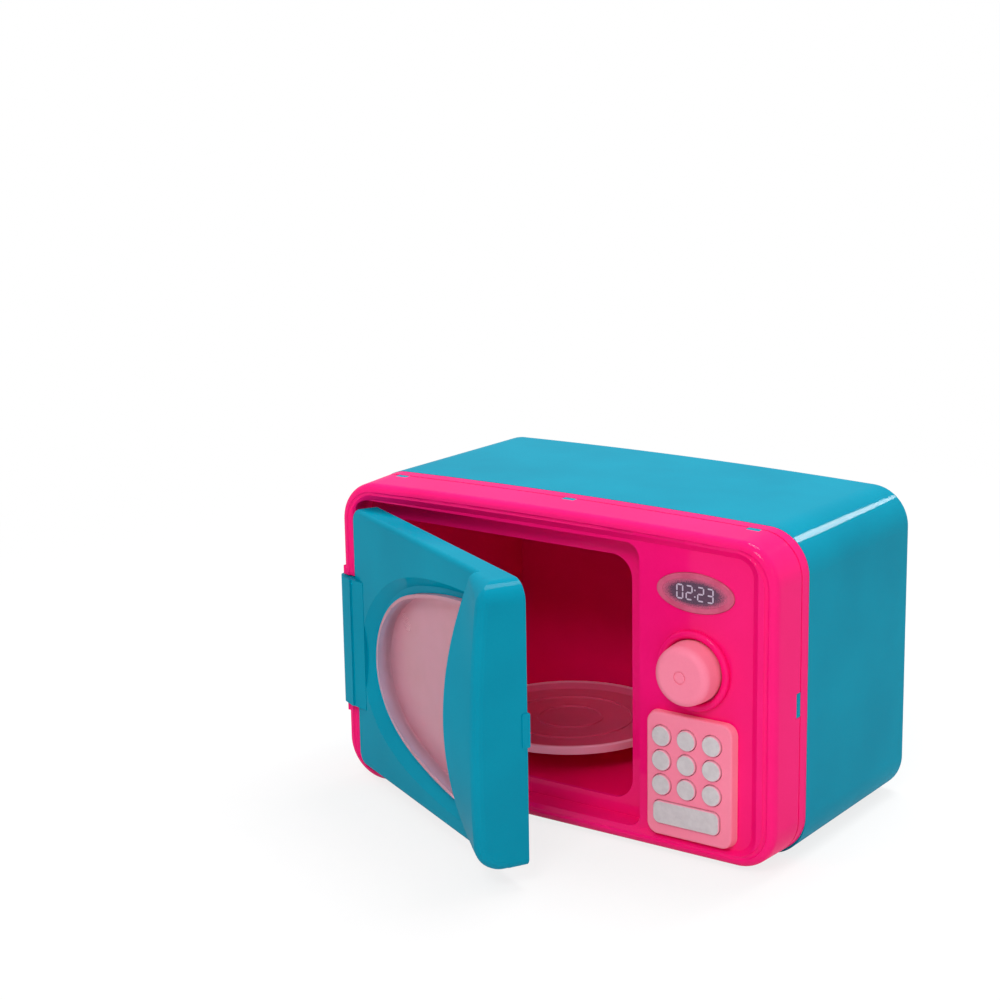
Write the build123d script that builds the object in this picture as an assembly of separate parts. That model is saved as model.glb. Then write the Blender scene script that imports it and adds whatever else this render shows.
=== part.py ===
from build123d import *
import math
import os

os.makedirs("parts", exist_ok=True)

# A child's toy microwave oven. Millimetres, +Z up, the front faces -Y and +X is to the right
# of someone looking at the front. Everything is drawn with y = 0 on the seam between case and
# fascia, and export() moves it so that the origin is the middle of the case's underside.

# ---- case -------------------------------------------------------------------------------
CASE_W = 260.0
CASE_H = 164.4
CASE_D = 112.0
CASE_CORNER_R = 22.0
CASE_CROWN = 2.0
CASE_DRAFT = 2.0
CASE_WALL = 2.4
CASE_BACK_FILLET = 4.0
LIP_THICK = 1.6
LIP_FORWARD = 5.0
LIP_BACK = 8.0
LIP_GAP = 0.1

# ---- snap tabs between case and fascia --------------------------------------------------
TAB_TOP_X = (25.5 - CASE_W / 2, 0.0, CASE_W / 2 - 25.5)
TAB_TOP_WIDTH = 7.0
TAB_SIDE_Z = 81.8
TAB_SIDE_WIDTH = 12.0
TAB_REACH = 12.0
HOOK_FRONT = 10.0
HOOK_BACK = 6.4
HOOK_INSET = 0.55
SLOT_GAP = 0.25

# ---- fascia -----------------------------------------------------------------------------
FASCIA_D = 30.0
FASCIA_WALL = 2.2
FASCIA_LOW = 1.3
FASCIA_INSET_BACK = 0.2
FASCIA_INSET_FRONT = 1.1
FASCIA_EDGE_R = 4.2
SEAM_GROOVE_Y = 6.2
SEAM_GROOVE_W = 0.9
SEAM_GROOVE_DEEP = 0.8
RING_GROOVE_INSET = 6.2
RING_GROOVE_R = 1.5
RING_GROOVE_OUT = 0.7
BEAD_LEFT, BEAD_RIGHT = 8.7 - CASE_W / 2, CASE_W / 2 - 10.7
BEAD_LOW, BEAD_HIGH = 7.2, CASE_H - 5.8
BEAD_R = 12.0
PANEL_LEFT, PANEL_RIGHT = 12.0 - CASE_W / 2, CASE_W / 2 - 15.0
PANEL_LOW, PANEL_HIGH = 9.5, CASE_H - 9.8
PANEL_R = 9.0
PANEL_CROWN = 1.4
PANEL_Y = 26.5

# The knob, display and keys stand in a column about this distance from the middle.
CONTROL_X = CASE_W / 2 - 47.0

# ---- door recess and cavity opening -----------------------------------------------------
RECESS_LEFT, RECESS_RIGHT = 10.0 - CASE_W / 2, CONTROL_X - 30.7
RECESS_LOW, RECESS_HIGH = 9.3, CASE_H - 10.1
RECESS_R_LEFT = 6.0
RECESS_R_TOP = 8.0
RECESS_R_BOTTOM = 6.5
RECESS_Y = 15.0
CAVITY_LEFT, CAVITY_RIGHT = RECESS_LEFT + 13.0, RECESS_RIGHT - 11.3
CAVITY_LOW, CAVITY_HIGH = RECESS_LOW + 8.0, RECESS_HIGH - 10.6
CAVITY_R = 11.5

# ---- cavity liner -----------------------------------------------------------------------
LINER_BACK_Y = CASE_D - 11.5
LINER_WALL = 1.8
LINER_DRAFT = 2.0
LINER_OVERSIZE = 0.3
LINER_FLANGE = 8.0
LINER_FOOT_SPREAD = 43.0
LINER_FOOT_Y = (66.0, 90.0)
LINER_FOOT_T = 2.0
STAKE_R = 1.5
STAKE_HEAD_R = 2.8
STAKE_HEAD_T = 1.1
STAKE_GAP = 0.1
STAKE_MARGIN = 5.2
STAKE_SPREAD = 52.0

# ---- turntable --------------------------------------------------------------------------
PLATE_X = (CAVITY_LEFT + CAVITY_RIGHT) / 2
PLATE_Y = 40.0
PLATE_R = 54.0
PLATE_RIM_Z = 34.0
PLATE_RIM_H = 4.6
PLATE_T = 2.0
PLATE_FLARE = 6.5
PLATE_RIM_T = 1.8
PLATE_DRAFT = 1.0
PLATE_RING_R = (17.0, 33.0)
PLATE_RING_H = 0.8
PLATE_RING_W = 1.2
FOOT_R = 9.0
SPINDLE_R = 5.0
SPINDLE_GAP = 0.08
SPINDLE_BASE_R = 12.0
SPINDLE_BASE_H = 2.5
PLATE_END_GAP = 0.25

# ---- door (drawn shut, then swung open about the hinge) ---------------------------------
DOOR_ANGLE = 27.25
HINGE_X = RECESS_LEFT - 6.0
HINGE_Y = 26.0
DOOR_LEFT, DOOR_RIGHT = RECESS_LEFT + 1.0, RECESS_RIGHT - 0.8
DOOR_LOW, DOOR_HIGH = RECESS_LOW + 1.3, RECESS_HIGH - 3.7
DOOR_R_LEFT = 7.0
DOOR_R_LOW = 4.0
DOOR_R_HIGH = 10.0
DOOR_FRONT_Y = 28.5
DOOR_BACK_Y = 16.5
DOOR_EDGE_R = 2.6
DOOR_WALL = 2.0
BARREL_R = 5.7
BARREL_LOW, BARREL_HIGH = 43.0, 112.5
PEG_R = 1.5
PEG_LEN = 3.4
PEG_GAP = 0.05
KNUCKLE_FRONT_Y = HINGE_Y + BARREL_R
KNUCKLE_BACK_Y = 21.4
KNUCKLE_PAD_RIGHT = HINGE_X + 19.0
KNUCKLE_FLAT = 5.0
KNUCKLE_FILLET = 8.0
NOTCH_LOW, NOTCH_HIGH = 42.4, 113.1
NOTCH_RIGHT = RECESS_LEFT + 1.4
NOTCH_FLOOR_Y = 19.0
LUG_T = 4.6

# The handle swells out of the free side of the door: an arched profile beside the window
# and a squarer one at the free end.
HANDLE_ROOT_X = DOOR_RIGHT - 34.5
CREST_END_Y = 29.6
CREST_MID_Y = 45.2
GRIP_LOW_Y = 42.6
GRIP_MID_Y = 44.4
GRIP_HIGH_Y = 39.4
GRIP_LOW_R = 15.0
GRIP_HIGH_R = 11.0
GRIP_EDGE_R = 4.5
GRIP_EDGE_STEPS = 4
CREST_CORNER_R = 1.2
CREST_LEAN = 2.6
HANDLE_WALL = 2.2

# Window outline, from the top right tip round the left side to the bottom right corner, and
# the outer edge of the moat that surrounds it, point for point. They are drawn from the lower
# left corner of a door of this width and height, and stretch with the door.
DRAWN_W = 170.5
DRAWN_H = 140.0
WINDOW = (
    (143.0, 122.4),
    (113.0, 119.2),
    (80.0, 112.8),
    (54.5, 104.0),
    (37.0, 91.0),
    (27.8, 76.9),
    (25.2, 65.4),
    (27.4, 52.4),
    (35.0, 41.4),
    (49.0, 31.6),
    (72.0, 23.8),
    (101.0, 18.4),
    (139.0, 15.4),
)
MOAT = (
    (143.5, 127.8),
    (109.0, 125.6),
    (75.0, 120.4),
    (47.0, 111.0),
    (25.5, 96.4),
    (13.4, 81.9),
    (8.4, 64.9),
    (11.4, 45.4),
    (24.0, 29.2),
    (45.0, 18.4),
    (73.0, 12.0),
    (103.0, 9.0),
    (139.0, 7.6),
)
WINDOW_RIGHT_MID = (137.2, 71.4)
MOAT_DEEP = 4.3
MOAT_FLOOR_SHARE = 0.45
PANE_GAP = 0.2
PANE_T = 1.6
PANE_FLANGE = 3.6
PANE_BEAD_W = 1.8
PANE_BEAD_H = 3.6
PANE_DEEP = 7.4
PAD_X = (DOOR_RIGHT - 3.1, DOOR_RIGHT + 0.5)
PAD_Z = (70.0, 87.0)
PAD_Y = 15.25

# ---- knob -------------------------------------------------------------------------------
KNOB_X = CONTROL_X
KNOB_Z = 96.0
KNOB_R = 15.5
KNOB_FRONT_Y = 40.0
KNOB_TIP_R = 14.6
KNOB_EDGE_R = 4.2
KNOB_DIMPLE_R = 3.3
KNOB_DIMPLE_W = 0.7
KNOB_DIMPLE_DEEP = 0.4
KNOB_END_GAP = 0.3
COLLAR_R = 20.0
COLLAR_GAP = 0.7
COLLAR_H = 2.8
COLLAR_FILLET = 1.5
SHAFT_R = 3.0
SHAFT_GAP = 0.06
BUSH_R = 6.0
BUSH_LEN = 6.3
WASHER_R = 5.4
WASHER_T = 1.0
SCREW_SHANK_R = 1.1
SCREW_HEAD_R = 2.4
SCREW_HEAD_T = 1.5
SCREW_SLOT_W = 0.7
SCREW_SLOT_DEEP = 0.7
SCREW_LEN = 6.0

# ---- display ----------------------------------------------------------------------------
DISPLAY_X = CONTROL_X + 0.7
DISPLAY_Z = 134.5
DISPLAY_W = 42.7
DISPLAY_H = 19.7
DISPLAY_T = 1.8
DISPLAY_SEAT = 1.0
DISPLAY_GAP = 0.15
LABEL_W = 35.6
LABEL_H = 13.8
LABEL_T = 0.3

# ---- keypad -----------------------------------------------------------------------------
PAD_PLATE_LEFT, PAD_PLATE_RIGHT = CONTROL_X - 24.0, CONTROL_X + 23.0
PAD_PLATE_LOW, PAD_PLATE_HIGH = 10.2, 73.2
PAD_PLATE_R = 6.0
PAD_PLATE_H = 4.0
PAD_PLATE_WALL = 1.8
PAD_PLATE_FLARE = 1.3
PAD_PLATE_EDGE_R = 1.1
KEY_MID_X = CONTROL_X - 1.6
KEY_PITCH_X = 14.0
KEY_MID_Z = 49.0
KEY_PITCH_Z = 12.5
KEY_R = 5.2
KEY_PROUD = 1.3
KEY_EDGE_R = 0.7
KEY_HOLE_GAP = 0.35
KEY_FLANGE = 0.9
KEY_FLANGE_T = 1.2
KEY_STEM_R = 2.8
KEY_STEM_LEN = 3.8
KEY_SEAT_GAP = 0.1
BAR_X = KEY_MID_X
BAR_Z = 22.4
BAR_W = 37.0
BAR_H = 11.6
BAR_R = 3.6
BAR_STEM_W = 28.0
BAR_STEM_H = 5.0
KEYPAD_WINDOW = (KEY_MID_X - 17.4, KEY_MID_X + 20.1, 15.4, 67.4)
KEYPAD_PEG_X = (KEY_MID_X - 19.8, KEY_MID_X + 21.8)
KEYPAD_PEG_Z = 42.75
KEYPAD_PEG_R = 1.2

# ---- circuit board and key mat ----------------------------------------------------------
BOARD = (CONTROL_X - 26.5, CONTROL_X + 26.5, 12.5, 70.5)
BOARD_T = 1.6
BOARD_FRONT_Y = 19.6
BOARD_POST_INSET = 3.1
BOARD_POST_R = 2.6
MAT = (KEY_MID_X - 18.8, KEY_MID_X + 21.8, 15.2, 67.6)
MAT_T = 1.2
DOME_R = 3.4
DOME_TIP_R = 2.4
DOME_H = 1.8
CHIP_X = CONTROL_X + 9.0
CHIP_Z = 30.0
CHIP_R = 5.5
CHIP_T = 1.8

# ---- speaker ----------------------------------------------------------------------------
SPEAKER_X = CONTROL_X + 3.0
SPEAKER_Z = 104.0
SPEAKER_R = 20.0
SPEAKER_DEPTH = 6.0
SPEAKER_FLANGE_T = 1.2
MAGNET_R = 11.0
MAGNET_T = 6.0
CONE_R = 17.5
CONE_THROAT_R = 6.0
CONE_T = 0.5
SPEAKER_EAR_X = 24.0
GRILLE_BARS = 5
GRILLE_PITCH = 6.0
GRILLE_SLOT = 2.2
GRILLE_REACH = 15.5

# ---- battery compartment in the underside -----------------------------------------------
BATTERY_X = CONTROL_X + 5.0
BATTERY_Y = 50.0
CELL_R = 7.1
CELL_LEN = 50.0
CELL_SPACING = 15.0
CELL_Z = 9.8
CELL_BUTTON_R = 2.6
CELL_BUTTON_H = 1.0
BATTERY_ROOM_W = 31.0
BATTERY_ROOM_L = 58.0
BATTERY_ROOM_TOP = 17.6
BATTERY_WALL = 2.2
COVER_W = 35.0
COVER_L = 72.0
COVER_T = 1.8
COVER_GAP = 0.25
COVER_SCREW_DY = 32.6
CONTACT_T = 0.5
CONTACT_W = 12.0
CONTACT_H = 12.0
SPRING_WIRE_R = 0.35
SPRING_R = 4.2
LEAD_R = 0.7
LEAD_OFFSET = 5.0
LEAD_END_GAP = 0.45


def front(y):
    """Drawing plane facing forward at distance y in front of the seam; local y is up."""
    return Plane(origin=(0, -y, 0), x_dir=(1, 0, 0), z_dir=(0, -1, 0))


def outline(left, right, low, high, radius, crown=0.0):
    """Rounded rectangle whose top edge may be bowed up by crown. radius is one value, or
    (low left, low right, high right, high left)."""
    middle = (left + right) / 2
    bottom_edge = Line((left, low), (right, low))
    right_edge = Line((right, low), (right, high))
    left_edge = Line((left, high), (left, low))
    if crown:
        top_edge = ThreePointArc((right, high), (middle, high + crown), (left, high))
    else:
        top_edge = Line((right, high), (left, high))
    face = make_face([bottom_edge, right_edge, top_edge, left_edge])
    if not isinstance(radius, tuple):
        return fillet(face.vertices(), radius)
    corners = ((left, low), (right, low), (right, high), (left, high))
    for corner, corner_radius in zip(corners, radius):
        nearest = face.vertices().sort_by_distance((corner[0], corner[1], 0))[0]
        face = fillet(nearest, corner_radius)
    return face


def prism(shape, y_back, y_front):
    """Extrudes a flat shape from y_back forward to y_front, both in front of the seam."""
    return extrude(front(y_back) * shape, amount=y_front - y_back)


def bridge(shape_back, y_back, shape_front, y_front):
    """Straight-sided solid between two outlines at two depths."""
    return loft([front(y_back) * shape_back, front(y_front) * shape_front], ruled=True)


def block(x_range, y_range, z_range):
    """Box between the given limits, in the drawing frame."""
    size = (x_range[1] - x_range[0], y_range[1] - y_range[0], z_range[1] - z_range[0])
    centre = (sum(x_range) / 2, sum(y_range) / 2, sum(z_range) / 2)
    return Pos(*centre) * Box(*size)


def disc(x, z, radius, y_back, y_front):
    """Cylinder along Y between two depths in front of the seam."""
    return prism(Pos(x, z) * Circle(radius), y_back, y_front)


def oval(x, z, width, height):
    return Pos(x, z) * Ellipse(width / 2, height / 2)


def rectangle(limits, radius=0.0):
    left, right, low, high = limits
    if radius:
        return outline(left, right, low, high, radius)
    return Pos((left + right) / 2, (low + high) / 2) * Rectangle(right - left, high - low)


def screw(x, z, y_head, length):
    """Slotted pan-head screw driven forward from the back; y_head is under the head."""
    head = disc(x, z, SCREW_HEAD_R, y_head - SCREW_HEAD_T, y_head)
    shank = disc(x, z, SCREW_SHANK_R, y_head, y_head + length)
    y_slot = -(y_head - SCREW_HEAD_T)
    slot = block(
        (x - SCREW_HEAD_R, x + SCREW_HEAD_R),
        (y_slot - SCREW_SLOT_DEEP, y_slot),
        (z - SCREW_SLOT_W / 2, z + SCREW_SLOT_W / 2),
    )
    return head + shank - slot


def export(shape, name):
    """Writes one node, moved so that the origin is under the middle of the case."""
    solids = [Pos(0, -CASE_D / 2, 0) * solid for solid in shape.solids()]
    whole = solids[0] if len(solids) == 1 else Compound(children=solids)
    export_step(whole, "parts/" + name + ".step")


# ---- case -------------------------------------------------------------------------------
def case_outline(inset, low):
    return outline(
        -CASE_W / 2 + inset,
        CASE_W / 2 - inset,
        low,
        CASE_H - inset,
        CASE_CORNER_R - inset,
        CASE_CROWN,
    )


def fascia_outline(inset):
    return outline(
        -CASE_W / 2 + inset,
        CASE_W / 2 - inset,
        FASCIA_LOW + inset,
        CASE_H - inset,
        CASE_CORNER_R - inset,
        CASE_CROWN,
    )


def tab_boxes(gap, y_front, y_back):
    """Blocks round every snap tab, gap wider than the tab on each side."""
    boxes = []
    for x in TAB_TOP_X:
        half = TAB_TOP_WIDTH / 2 + gap
        boxes.append(block((x - half, x + half), (-y_front, -y_back), (-10, 12)))
        boxes.append(block((x - half, x + half), (-y_front, -y_back), (CASE_H - 14, CASE_H + 16)))
    half = TAB_SIDE_WIDTH / 2 + gap
    z_range = (TAB_SIDE_Z - half, TAB_SIDE_Z + half)
    boxes.append(block((-CASE_W / 2 - 10, 10 - CASE_W / 2), (-y_front, -y_back), z_range))
    boxes.append(block((CASE_W / 2 - 10, CASE_W / 2 + 10), (-y_front, -y_back), z_range))
    return boxes


lip_inset = FASCIA_INSET_BACK + FASCIA_WALL + LIP_GAP
lip_outer = fascia_outline(lip_inset)
lip_inner = fascia_outline(lip_inset + LIP_THICK)
hook_outer = fascia_outline(HOOK_INSET)

case_body = bridge(case_outline(CASE_DRAFT, 0), -CASE_D, case_outline(0, 0), 0)
case_body = fillet(case_body.faces().sort_by(Axis.Y)[-1].edges(), CASE_BACK_FILLET)
case_room = bridge(
    case_outline(CASE_DRAFT + CASE_WALL, CASE_WALL),
    -CASE_D + CASE_WALL,
    case_outline(CASE_WALL, CASE_WALL),
    1,
)
case_shell = case_body - case_room
lip = prism(lip_outer, -LIP_BACK, LIP_FORWARD) - prism(lip_inner, -LIP_BACK - 1, LIP_FORWARD + 1)
lip_root = prism(case_outline(1.0, 1.0), -LIP_BACK, 0) - prism(lip_inner, -LIP_BACK - 1, 1)
tongues = prism(lip_outer, LIP_FORWARD - 1, TAB_REACH) - prism(lip_inner, 0, TAB_REACH + 1)
hooks = prism(hook_outer, HOOK_BACK, HOOK_FRONT) - prism(lip_inner, 0, TAB_REACH)
tabs = tab_boxes(0, TAB_REACH + 1, LIP_FORWARD - 1)
case_shell += lip + lip_root
for tab in tabs:
    case_shell += (tongues + hooks) & tab

# Battery compartment moulded into the floor of the case.
room_half = BATTERY_ROOM_W / 2
seat_half = COVER_W / 2 + COVER_GAP
seat_long = COVER_L / 2 + COVER_GAP
pocket = block(
    (BATTERY_X - seat_half - BATTERY_WALL, BATTERY_X + seat_half + BATTERY_WALL),
    (BATTERY_Y - seat_long - BATTERY_WALL, BATTERY_Y + seat_long + BATTERY_WALL),
    (0, BATTERY_ROOM_TOP + BATTERY_WALL),
)
seat = block(
    (BATTERY_X - seat_half, BATTERY_X + seat_half),
    (BATTERY_Y - seat_long, BATTERY_Y + seat_long),
    (-1, COVER_T + 0.1),
)
cell_room = block(
    (BATTERY_X - room_half, BATTERY_X + room_half),
    (BATTERY_Y - BATTERY_ROOM_L / 2, BATTERY_Y + BATTERY_ROOM_L / 2),
    (-1, BATTERY_ROOM_TOP),
)
cover_screw_hole = Pos(BATTERY_X, BATTERY_Y - COVER_SCREW_DY, 5) * Cylinder(SCREW_SHANK_R, 12)
case_shell = case_shell + pocket - seat - cell_room - cover_screw_hole
lead_y = BATTERY_Y - BATTERY_ROOM_L / 2 + CONTACT_T + LEAD_R
for side in (-1, 1):
    x = BATTERY_X + side * (CELL_SPACING / 2 + LEAD_OFFSET)
    case_shell -= Pos(x, lead_y, BATTERY_ROOM_TOP + 1) * Cylinder(LEAD_R + 0.3, 6)

# Sound slots in the back wall, and the speaker's two posts.
for i in range(GRILLE_BARS):
    dz = (i - (GRILLE_BARS - 1) / 2) * GRILLE_PITCH
    reach = math.sqrt(GRILLE_REACH**2 - dz**2)
    case_shell -= block(
        (SPEAKER_X - reach, SPEAKER_X + reach),
        (CASE_D - CASE_WALL - 1, CASE_D + 1),
        (SPEAKER_Z + dz - GRILLE_SLOT / 2, SPEAKER_Z + dz + GRILLE_SLOT / 2),
    )
speaker_seat_y = CASE_D - CASE_WALL - 2.0
for side in (-1, 1):
    x = SPEAKER_X + side * SPEAKER_EAR_X
    post = disc(x, SPEAKER_Z, 2.6, -CASE_D + 1, -speaker_seat_y)
    post -= disc(x, SPEAKER_Z, SCREW_SHANK_R, -speaker_seat_y - 3.2, -speaker_seat_y)
    case_shell += post
    case_shell -= disc(x, SPEAKER_Z, SCREW_SHANK_R, -speaker_seat_y - 3.2, -speaker_seat_y + 1)
export(case_shell, "case_shell")

# ---- battery parts ----------------------------------------------------------------------
cover = block(
    (BATTERY_X - COVER_W / 2, BATTERY_X + COVER_W / 2),
    (BATTERY_Y - COVER_L / 2, BATTERY_Y + COVER_L / 2),
    (0.15, COVER_T),
)
cover = fillet(cover.edges().filter_by(Axis.Z), 1.5)
head_room = SCREW_HEAD_R + 0.3
cover_hole = Pos(BATTERY_X, BATTERY_Y - COVER_SCREW_DY, 0)
cover -= cover_hole * Cylinder(SCREW_SHANK_R + 0.2, 8)
cover -= cover_hole * Cylinder(head_room, 1.6)
for i in range(6):
    rib_y = BATTERY_Y + 10 + i * 2.6
    rib = block((BATTERY_X - 8, BATTERY_X + 8), (rib_y, rib_y + 1.2), (0.05, 0.5))
    cover -= rib
export(cover, "battery_cover")

upright = (Align.CENTER, Align.CENTER, Align.MIN)
cover_screw = Pos(0, 0, 0.8) * Cylinder(SCREW_SHANK_R, 6.4, align=upright)
cover_screw += Pos(0, 0, 0.1) * Cylinder(SCREW_HEAD_R, 0.7, align=upright)
cover_screw -= Pos(0, 0, 0.1) * Box(SCREW_HEAD_R * 2, SCREW_SLOT_W, 0.5)
export(Pos(BATTERY_X, BATTERY_Y - COVER_SCREW_DY, 0) * cover_screw, "battery_cover_screw")

cells = []
contacts = []
end_y = BATTERY_ROOM_L / 2
for side in (-1, 1):
    x = BATTERY_X + side * CELL_SPACING / 2
    y_plus = BATTERY_Y + side * (end_y - CONTACT_T)
    plus = Plane(origin=(x, y_plus, CELL_Z), z_dir=(0, -side, 0))
    button = plus * Cylinder(CELL_BUTTON_R, CELL_BUTTON_H, align=upright)
    tube_at = plus * Pos(0, 0, CELL_BUTTON_H)
    tube = tube_at * Cylinder(CELL_R, CELL_LEN, align=upright)
    cells.append(button + tube)
    flat = block(
        (x - CONTACT_W / 2, x + CONTACT_W / 2),
        (min(y_plus, BATTERY_Y + side * end_y), max(y_plus, BATTERY_Y + side * end_y)),
        (CELL_Z - CONTACT_H / 2, CELL_Z + CONTACT_H / 2),
    )
    contacts.append(flat)
    y_minus = BATTERY_Y - side * end_y
    minus_low = min(y_minus, y_minus + side * CONTACT_T)
    minus = block(
        (x - CONTACT_W / 2, x + CONTACT_W / 2),
        (minus_low, minus_low + CONTACT_T),
        (CELL_Z - CONTACT_H / 2, CELL_Z + CONTACT_H / 2),
    )
    coil_len = BATTERY_ROOM_L - CONTACT_T * 2 - CELL_LEN - CELL_BUTTON_H
    coil_at = Plane(origin=(x, y_minus + side * CONTACT_T, CELL_Z), z_dir=(0, side, 0))
    path = Helix(pitch=coil_len / 3.0, height=coil_len - 0.8, radius=SPRING_R)
    wire_at = Plane(origin=path @ 0, z_dir=path % 0)
    coil = sweep(wire_at * Circle(SPRING_WIRE_R), path=path)
    contacts.append(minus)
    contacts.append(coil_at * Pos(0, 0, 0.3) * coil)
export(Compound(children=cells), "battery_cells")
contact_solids = contacts[0]
for piece in contacts[1:]:
    contact_solids += piece
export(contact_solids, "battery_contacts")


# ---- fascia -----------------------------------------------------------------------------
def recess_outline(grow):
    """The door recess; a positive grow makes it larger all round."""
    radius = (RECESS_R_LEFT + grow, RECESS_R_BOTTOM + grow, RECESS_R_TOP + grow, RECESS_R_LEFT + grow)
    return outline(
        RECESS_LEFT - grow,
        RECESS_RIGHT + grow,
        RECESS_LOW - grow,
        RECESS_HIGH + grow,
        radius,
    )


def panel_outline(grow):
    return outline(
        PANEL_LEFT - grow,
        PANEL_RIGHT + grow,
        PANEL_LOW - grow,
        PANEL_HIGH + grow,
        PANEL_R + grow,
        PANEL_CROWN,
    )


def cavity_outline(grow):
    return outline(
        CAVITY_LEFT - grow,
        CAVITY_RIGHT + grow,
        CAVITY_LOW - grow,
        CAVITY_HIGH + grow,
        CAVITY_R + grow,
    )


fascia = bridge(fascia_outline(FASCIA_INSET_BACK), 0, fascia_outline(FASCIA_INSET_FRONT), FASCIA_D)
fascia = fillet(fascia.faces().sort_by(Axis.Y)[0].edges(), FASCIA_EDGE_R)
groove_path = front(FASCIA_D + RING_GROOVE_OUT) * fascia_outline(RING_GROOVE_INSET).face().outer_wire()
groove_start = Plane(origin=groove_path @ 0, z_dir=groove_path % 0)
fascia -= sweep(groove_start * Circle(RING_GROOVE_R), path=groove_path)
bead_outline = outline(BEAD_LEFT, BEAD_RIGHT, BEAD_LOW, BEAD_HIGH, BEAD_R, PANEL_CROWN)
panel_pocket = bridge(panel_outline(0), PANEL_Y, bead_outline, FASCIA_D)
fascia -= panel_pocket
seam_groove = prism(fascia_outline(-2), SEAM_GROOVE_Y, SEAM_GROOVE_Y + SEAM_GROOVE_W)
seam_groove -= prism(fascia_outline(SEAM_GROOVE_DEEP), SEAM_GROOVE_Y - 1, SEAM_GROOVE_Y + 2)
fascia -= seam_groove

# The hollow behind the front, kept clear of the panel, the door recess and their walls.
rim_room = fascia_outline(FASCIA_INSET_BACK + FASCIA_WALL)
hollow = prism(rim_room, -1, TAB_REACH + 1)
hollow += bridge(
    rim_room,
    TAB_REACH + 1,
    fascia_outline(FASCIA_INSET_FRONT + FASCIA_WALL + 1.6),
    FASCIA_D - FASCIA_WALL - 0.6,
)
hollow -= prism(panel_outline(FASCIA_WALL + 1), PANEL_Y - FASCIA_WALL, FASCIA_D)
hollow -= prism(recess_outline(FASCIA_WALL), RECESS_Y - FASCIA_WALL, FASCIA_D)
fascia -= hollow
fascia += block(
    (HINGE_X - 3.2, RECESS_LEFT),
    (-FASCIA_D + 1, -NOTCH_FLOOR_Y + FASCIA_WALL),
    (NOTCH_LOW - LUG_T, NOTCH_HIGH + LUG_T),
)
fascia -= prism(recess_outline(0), RECESS_Y, FASCIA_D + 1)
fascia -= prism(cavity_outline(0), 0, FASCIA_D)
fascia -= block((HINGE_X - 14, NOTCH_RIGHT), (-FASCIA_D - 5, -NOTCH_FLOOR_Y), (NOTCH_LOW, NOTCH_HIGH))
peg_hole_low = NOTCH_LOW - PEG_LEN - 0.4
peg_hole_high = NOTCH_HIGH + PEG_LEN + 0.4
peg_hole_mid = (peg_hole_low + peg_hole_high) / 2
peg_hole = Pos(HINGE_X, -HINGE_Y, peg_hole_mid)
fascia -= peg_hole * Cylinder(PEG_R + PEG_GAP, peg_hole_high - peg_hole_low)
for tab in tab_boxes(SLOT_GAP, HOOK_FRONT + SLOT_GAP, HOOK_BACK - SLOT_GAP):
    tab_slot = prism(fascia_outline(-2), 4, 12) - prism(lip_outer, 3, 13)
    fascia -= tab_slot & tab

# Knob collar in front and its bush behind.
collar = disc(KNOB_X, KNOB_Z, COLLAR_R, PANEL_Y - 1, PANEL_Y + COLLAR_H)
collar -= disc(KNOB_X, KNOB_Z, KNOB_R + COLLAR_GAP, PANEL_Y, PANEL_Y + COLLAR_H + 1)
collar = fillet(collar.faces().sort_by(Axis.Y)[0].edges(), COLLAR_FILLET)
fascia += collar
bush_end_y = PANEL_Y - FASCIA_WALL - BUSH_LEN
fascia += disc(KNOB_X, KNOB_Z, BUSH_R, bush_end_y, PANEL_Y - FASCIA_WALL)
fascia -= disc(KNOB_X, KNOB_Z, SHAFT_R + SHAFT_GAP, bush_end_y - 1, PANEL_Y + 1)

# Seats for the display and the keypad, and posts for the circuit board.
fascia -= prism(
    oval(DISPLAY_X, DISPLAY_Z, DISPLAY_W + 2 * DISPLAY_GAP, DISPLAY_H + 2 * DISPLAY_GAP),
    PANEL_Y - DISPLAY_SEAT,
    PANEL_Y + 1,
)
fascia -= prism(rectangle(KEYPAD_WINDOW, 2.0), PANEL_Y - FASCIA_WALL - 1, PANEL_Y + 1)
for x in KEYPAD_PEG_X:
    fascia -= disc(x, KEYPAD_PEG_Z, KEYPAD_PEG_R + STAKE_GAP, PANEL_Y - 5, PANEL_Y + 1)
post_xs = (BOARD[0] + BOARD_POST_INSET, BOARD[1] - BOARD_POST_INSET)
post_zs = (BOARD[2] + BOARD_POST_INSET, BOARD[3] - BOARD_POST_INSET)
post_places = [(x, z) for x in post_xs for z in post_zs]
for x, z in post_places:
    fascia += disc(x, z, BOARD_POST_R, BOARD_FRONT_Y, PANEL_Y - 1)
    fascia -= disc(x, z, SCREW_SHANK_R, BOARD_FRONT_Y - 1, BOARD_FRONT_Y + 4.6)

# Stakes, melted over, that hold the liner's flange against the recess floor.
stake_top_z = CAVITY_HIGH + STAKE_MARGIN
stake_low_z = CAVITY_LOW - STAKE_MARGIN
flange_front_y = RECESS_Y - FASCIA_WALL
flange_back_y = flange_front_y - LINER_WALL
stake_xs = (PLATE_X - STAKE_SPREAD, PLATE_X, PLATE_X + STAKE_SPREAD)
stake_places = [(x, z) for x in stake_xs for z in (stake_low_z, stake_top_z)]
for x, z in stake_places:
    fascia += disc(x, z, STAKE_R, flange_back_y - 0.2, flange_front_y + 0.5)
    fascia += disc(x, z, STAKE_HEAD_R, flange_back_y - STAKE_HEAD_T, flange_back_y)
export(fascia, "fascia")


# ---- cavity liner -----------------------------------------------------------------------
def liner_outline(inset):
    grow = LINER_OVERSIZE - inset
    return cavity_outline(grow)


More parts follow.
